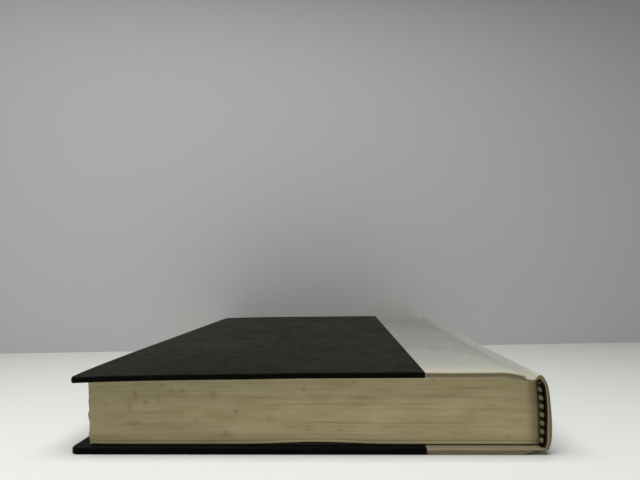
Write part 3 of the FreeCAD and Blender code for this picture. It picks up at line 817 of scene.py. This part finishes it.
# Endpapers: a stiff toned sheet each, one half pasted inside the cover, the other the flyleaf.
# The pasted half runs on over the joint to the back edge of the leaves, and bends there.
ENDPAPER_DARK = "#c0b394"
ENDPAPER_LIGHT = "#cfc3a6"
ENDPAPER_MARGIN = "#93835f"
MARGIN_REACH = 14.0
LEAF = 0.15
LEAF_EDGE = 0.05
FLY_STEPS, FLY_COLUMNS = 90, 24
PASTE_STEPS, PASTE_COLUMNS = 110, 40
# The pasted half keeps clear of the turned-in edges and the back of the leaves, and sinks a little
# towards the leaves on its way over the joint.
PASTE_SHY = 1.2
BACK_SHY = 0.1
JOINT_SINK = 0.2


def flyleaf(side):
    """The free half: a thin plate that lies on the leaves."""
    low, high = span(side + "_flyleaf")
    start = low[0] + FORE_SHY + FORE_LEAN * (0.5 if side == "back" else -0.5)
    outer, inner = cover_section(side, start, high[0], layer("flyleaf"), LEAF_EDGE, FLY_STEPS)
    y, share = across_cover(high[1], LEAF_EDGE, FLY_COLUMNS)
    item = folded_sheet(side + "_free_endpaper", outer, inner, y, share, side)
    settle(item, side, layer("flyleaf")[0], swung=False)
    if side == "back":
        x, y, z = points_of(item)
        place_points(item, x, y, z + foot_lift(x, y))
    join_and_smooth(item)
    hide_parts(side + "_flyleaf")
    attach(item, "book_block")
    return item


def pasted_half(side):
    """The pasted half: a leaf on the inside of its cover, then on over the joint to the leaves."""
    low, high = span(side + "_pastedown")
    inside = layer("side_paper")[1]
    back_edge = block_high[0] - BACK_SHY
    outer, inner = cover_section(side, low[0] + FORE_LEAN, back_edge, (inside, inside + LEAF),
                                 LEAF_EDGE, PASTE_STEPS, sink=JOINT_SINK)
    y, share = across_cover(high[1] - PASTE_SHY, LEAF_EDGE, PASTE_COLUMNS)
    item = folded_sheet(side + "_pasted_endpaper", outer, inner, y, share, side)
    settle(item, side, inside + LEAF)
    join_and_smooth(item)
    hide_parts(side + "_pastedown")
    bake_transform(item)
    return item


# Endpaper: heavier uncoated paper, toned, with a faint cloud and browner at head and tail.
endpaper, tree, output = start_material("toned_endpaper")
where = add_node(tree, "TexCoord").outputs["Object"]
cloud = add_node(tree, "TexNoise", {"Vector": where, "Scale": 0.02 / MM, "Detail": 4.0})
fibre = add_node(tree, "TexNoise", {"Vector": where, "Scale": 1.6 / MM, "Detail": 3.0})
tone = colour_ramp(tree, cloud.outputs["Fac"], (0.3, ENDPAPER_DARK), (0.7, ENDPAPER_LIGHT))
place = add_node(tree, "SeparateXYZ", {0: where})
from_middle = add_node(tree, "Math", {0: place.outputs[1]}, operation="ABSOLUTE")
margin = remap(tree, from_middle.outputs[0],
               ((block_high[1] - MARGIN_REACH) * MM, block_high[1] * MM), (0.0, 0.6))
browned = mix_colours(tree, margin, tone, linear(ENDPAPER_MARGIN))
relief = add_node(tree, "Bump", {"Height": fibre.outputs["Fac"], "Strength": 0.2, "Distance": 0.03 * MM})
sheet = add_node(tree, "BsdfPrincipled", {"Base Color": browned, "Roughness": 0.88,
                                          "Specular IOR Level": 0.2, "Normal": relief.outputs[0]})
tree.links.new(sheet.outputs[0], output.inputs["Surface"])
for side in ("front", "back"):
    flyleaf(side).data.materials.append(endpaper)
    pasted_half(side).data.materials.append(endpaper)

# Head and tail bands: a cotton tape glued to the back of the leaves, with a bead along its edge
# wound in groups of dark and light thread that lie a little aslant.
BEAD_RADIUS = 0.73
BEAD_ROWS, BEAD_SIDES = 421, 28
BEAD_SHY = 0.05
BEAD_BEND = 0.75
TAPE_THICK = 0.3
BAND_THREAD = 0.34
THREAD_RISE = 0.07
BAND_SLANT = 0.25
BAND_GROUP = 2.764
BAND_START = 0.17
DARK_SHARE = 0.5
DARK_THREAD = "#15110a"
# White thread painted grey: painted shade.
SHADED_LIGHT_THREAD = "#7f7d63"
# Tape painted dark brown: painted shade in the gap behind the bead.
TAPE_SHADE_COLOUR = "#4a4029"


def band(end_name):
    """Bead: a round whose radius rises over each thread, bent in at its ends. Tape: a thin plate."""
    low, high = span(end_name + "_band")
    sign = -1 if end_name == "head" else 1
    radius = BEAD_RADIUS
    centre_y = (low[1] + radius) if sign < 0 else (high[1] - radius)
    z = np.linspace(low[2], high[2], BEAD_ROWS)[:, None]
    angle = np.linspace(0, 2 * math.pi, BEAD_SIDES, endpoint=False)[None, :]
    slant = z + BAND_SLANT * np.cos(angle) * radius
    winding = np.abs(np.sin(math.pi * slant / BAND_THREAD))
    reach = radius - THREAD_RISE * (1 - winding ** 0.6)
    from_middle = np.abs(2 * (z - low[2]) / (high[2] - low[2]) - 1)
    centre_x = high[0] - BEAD_SHY - radius - BEAD_BEND * from_middle ** 3
    x = centre_x + reach * np.cos(angle)
    y = centre_y + reach * np.sin(angle)
    points = np.stack([x, y, np.broadcast_to(z, x.shape)], axis=-1).reshape(-1, 3)
    rows, columns = x.shape
    faces = list(grid_faces(rows, columns, flip=True, close_columns=True))
    faces.append(np.arange(columns)[::-1])
    faces.append(np.arange(columns) + (rows - 1) * columns)
    tape_y = sorted([centre_y, (high[1] if sign < 0 else low[1])])
    tape_x = low[0] + TAPE_THICK
    corners = [(low[0], tape_y[0]), (tape_x, tape_y[0]), (tape_x, tape_y[1]), (low[0], tape_y[1])]
    base = len(points)
    tape = [(*corner, height) for height in (low[2], high[2]) for corner in corners]
    faces += [[base + i for i in quad] for quad in
              ((3, 2, 1, 0), (4, 5, 6, 7), (0, 1, 5, 4), (1, 2, 6, 5), (2, 3, 7, 6), (3, 0, 4, 7))]
    item = lay_mesh(end_name + "_band_bead", np.concatenate([points, tape]), faces)
    group = np.broadcast_to(slant / BAND_GROUP, x.shape).reshape(-1)
    phase = np.concatenate([group - low[2] / BAND_GROUP + BAND_START, np.zeros(8)])
    is_tape = np.concatenate([np.zeros(len(group)), np.ones(8)])
    attach_vectors(item, "winding", np.stack([phase, is_tape, phase * 0], axis=-1))
    item.data.shade_smooth()
    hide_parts(end_name + "_band")
    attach(item, "book_block")
    return item


# Mercerised cotton thread in two colours: soft, slightly shiny; the light one is white, painted a shaded
# grey.
band_thread, tree, output = start_material("wound_cotton_thread")
winding = add_node(tree, "SeparateXYZ", {0: follow(tree, "winding")})
turn_share = add_node(tree, "Math", {0: winding.outputs[0]}, operation="FRACT")
group = colour_ramp(tree, turn_share.outputs[0], (0.0, DARK_THREAD),
                    (DARK_SHARE + 0.03, SHADED_LIGHT_THREAD), (DARK_SHARE - 0.02, DARK_THREAD),
                    (0.97, SHADED_LIGHT_THREAD))
on_tape = mix_colours(tree, winding.outputs[1], group, linear(TAPE_SHADE_COLOUR))
cotton = add_node(tree, "BsdfPrincipled", {"Base Color": on_tape, "Roughness": 0.7,
                                           "Specular IOR Level": 0.2})
tree.links.new(cotton.outputs[0], output.inputs["Surface"])
for end_name in ("head", "tail"):
    band(end_name).data.materials.append(band_thread)

# Card strip that stiffens the spine: it lies in the cloth and bows out with it.
INLAY_STEPS = 24
INLAY_GAP = 0.03
INLAY_SHY = 0.3
INLAY_THIN = 0.8


def spine_inlay():
    """Plate in section between two curves a skin and a strip's thickness inside the cloth's face."""
    low, high = span("spine_inlay")
    curve = np.concatenate([cloth_curve("back", CLOTH_BACK_OUT),
                            cloth_curve("front", CLOTH_FRONT_OUT)[::-1]])
    curve = curve[curve[:, 0] > low[0] + 0.15]
    z = np.linspace(low[2], high[2], INLAY_STEPS)
    outside = np.interp(z, curve[:, 1], curve[:, 0]) - SKIN - INLAY_GAP
    inside = outside - (high[0] - low[0]) * INLAY_THIN
    section = np.concatenate([np.stack([outside, z], axis=-1), np.stack([inside, z], axis=-1)[::-1]])
    points = [(x, y, z) for y in (low[1] + INLAY_SHY, high[1] - INLAY_SHY) for x, z in section]
    count = len(section)
    faces = [list(range(count)), list(range(count, 2 * count))[::-1]]
    faces += [[i, count + i, count + (i + 1) % count, (i + 1) % count] for i in range(count)]
    item = lay_mesh("spine_card_strip", points, faces)
    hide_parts("spine_inlay")
    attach(item, "book_block")
    return item


spine_inlay().data.materials.append(grey_board)

# Spine linings, hidden in the hollow of the spine: cotton gauze and brown paper on the back of
# the leaves. The solids carry their form and stay.
gauze, tree, output = start_material("glued_cotton_gauze")
where = add_node(tree, "TexCoord").outputs["Object"]
mesh_lines = add_node(tree, "TexVoronoi", {"Vector": where, "Scale": 1.2 / MM},
                      feature="DISTANCE_TO_EDGE")
tone = colour_ramp(tree, mesh_lines.outputs[0], (0.05, "#c9c3ad"), (0.2, "#968b6c"))
weft = add_node(tree, "BsdfPrincipled", {"Base Color": tone, "Roughness": 0.85})
tree.links.new(weft.outputs[0], output.inputs["Surface"])

kraft, tree, output = start_material("brown_lining_paper")
where = add_node(tree, "TexCoord").outputs["Object"]
fibre = add_node(tree, "TexNoise", {"Vector": where, "Scale": 0.9 / MM, "Detail": 4.0})
tone = colour_ramp(tree, fibre.outputs["Fac"], (0.3, "#6b5233"), (0.7, "#866a45"))
brown = add_node(tree, "BsdfPrincipled", {"Base Color": tone, "Roughness": 0.85})
tree.links.new(brown.outputs[0], output.inputs["Surface"])

for node, finish in (("spine_mull", gauze), ("spine_lining", kraft)):
    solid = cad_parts[node]
    solid.data.materials.clear()
    solid.data.materials.append(finish)

# Light: a soft panel above the near left of the book, so that light falls off towards the wall
# and faces turned to the camera stay in half shade, and a weak even light from all round.
PANEL_SPOT = (-0.06, -0.22, 0.55)
PANEL_SIZE = 0.5
PANEL_TILT = math.radians(-32)
PANEL_POWER = 4.3
ROOM_LIGHT = 0.19

panel = bpy.data.objects.new("panel", bpy.data.lights.new("panel", "AREA"))
panel.data.shape = "SQUARE"
panel.data.size = PANEL_SIZE
panel.data.energy = PANEL_POWER
panel.location = PANEL_SPOT
panel.rotation_euler = (PANEL_TILT, 0, 0)
bpy.context.scene.collection.objects.link(panel)

world = bpy.data.worlds.new("room")
bpy.context.scene.world = world
world.use_nodes = True
room = world.node_tree.nodes["Background"]
room.inputs["Color"].default_value = (1.0, 1.0, 1.0, 1.0)
room.inputs["Strength"].default_value = ROOM_LIGHT
bpy.context.scene.view_settings.view_transform = "Standard"
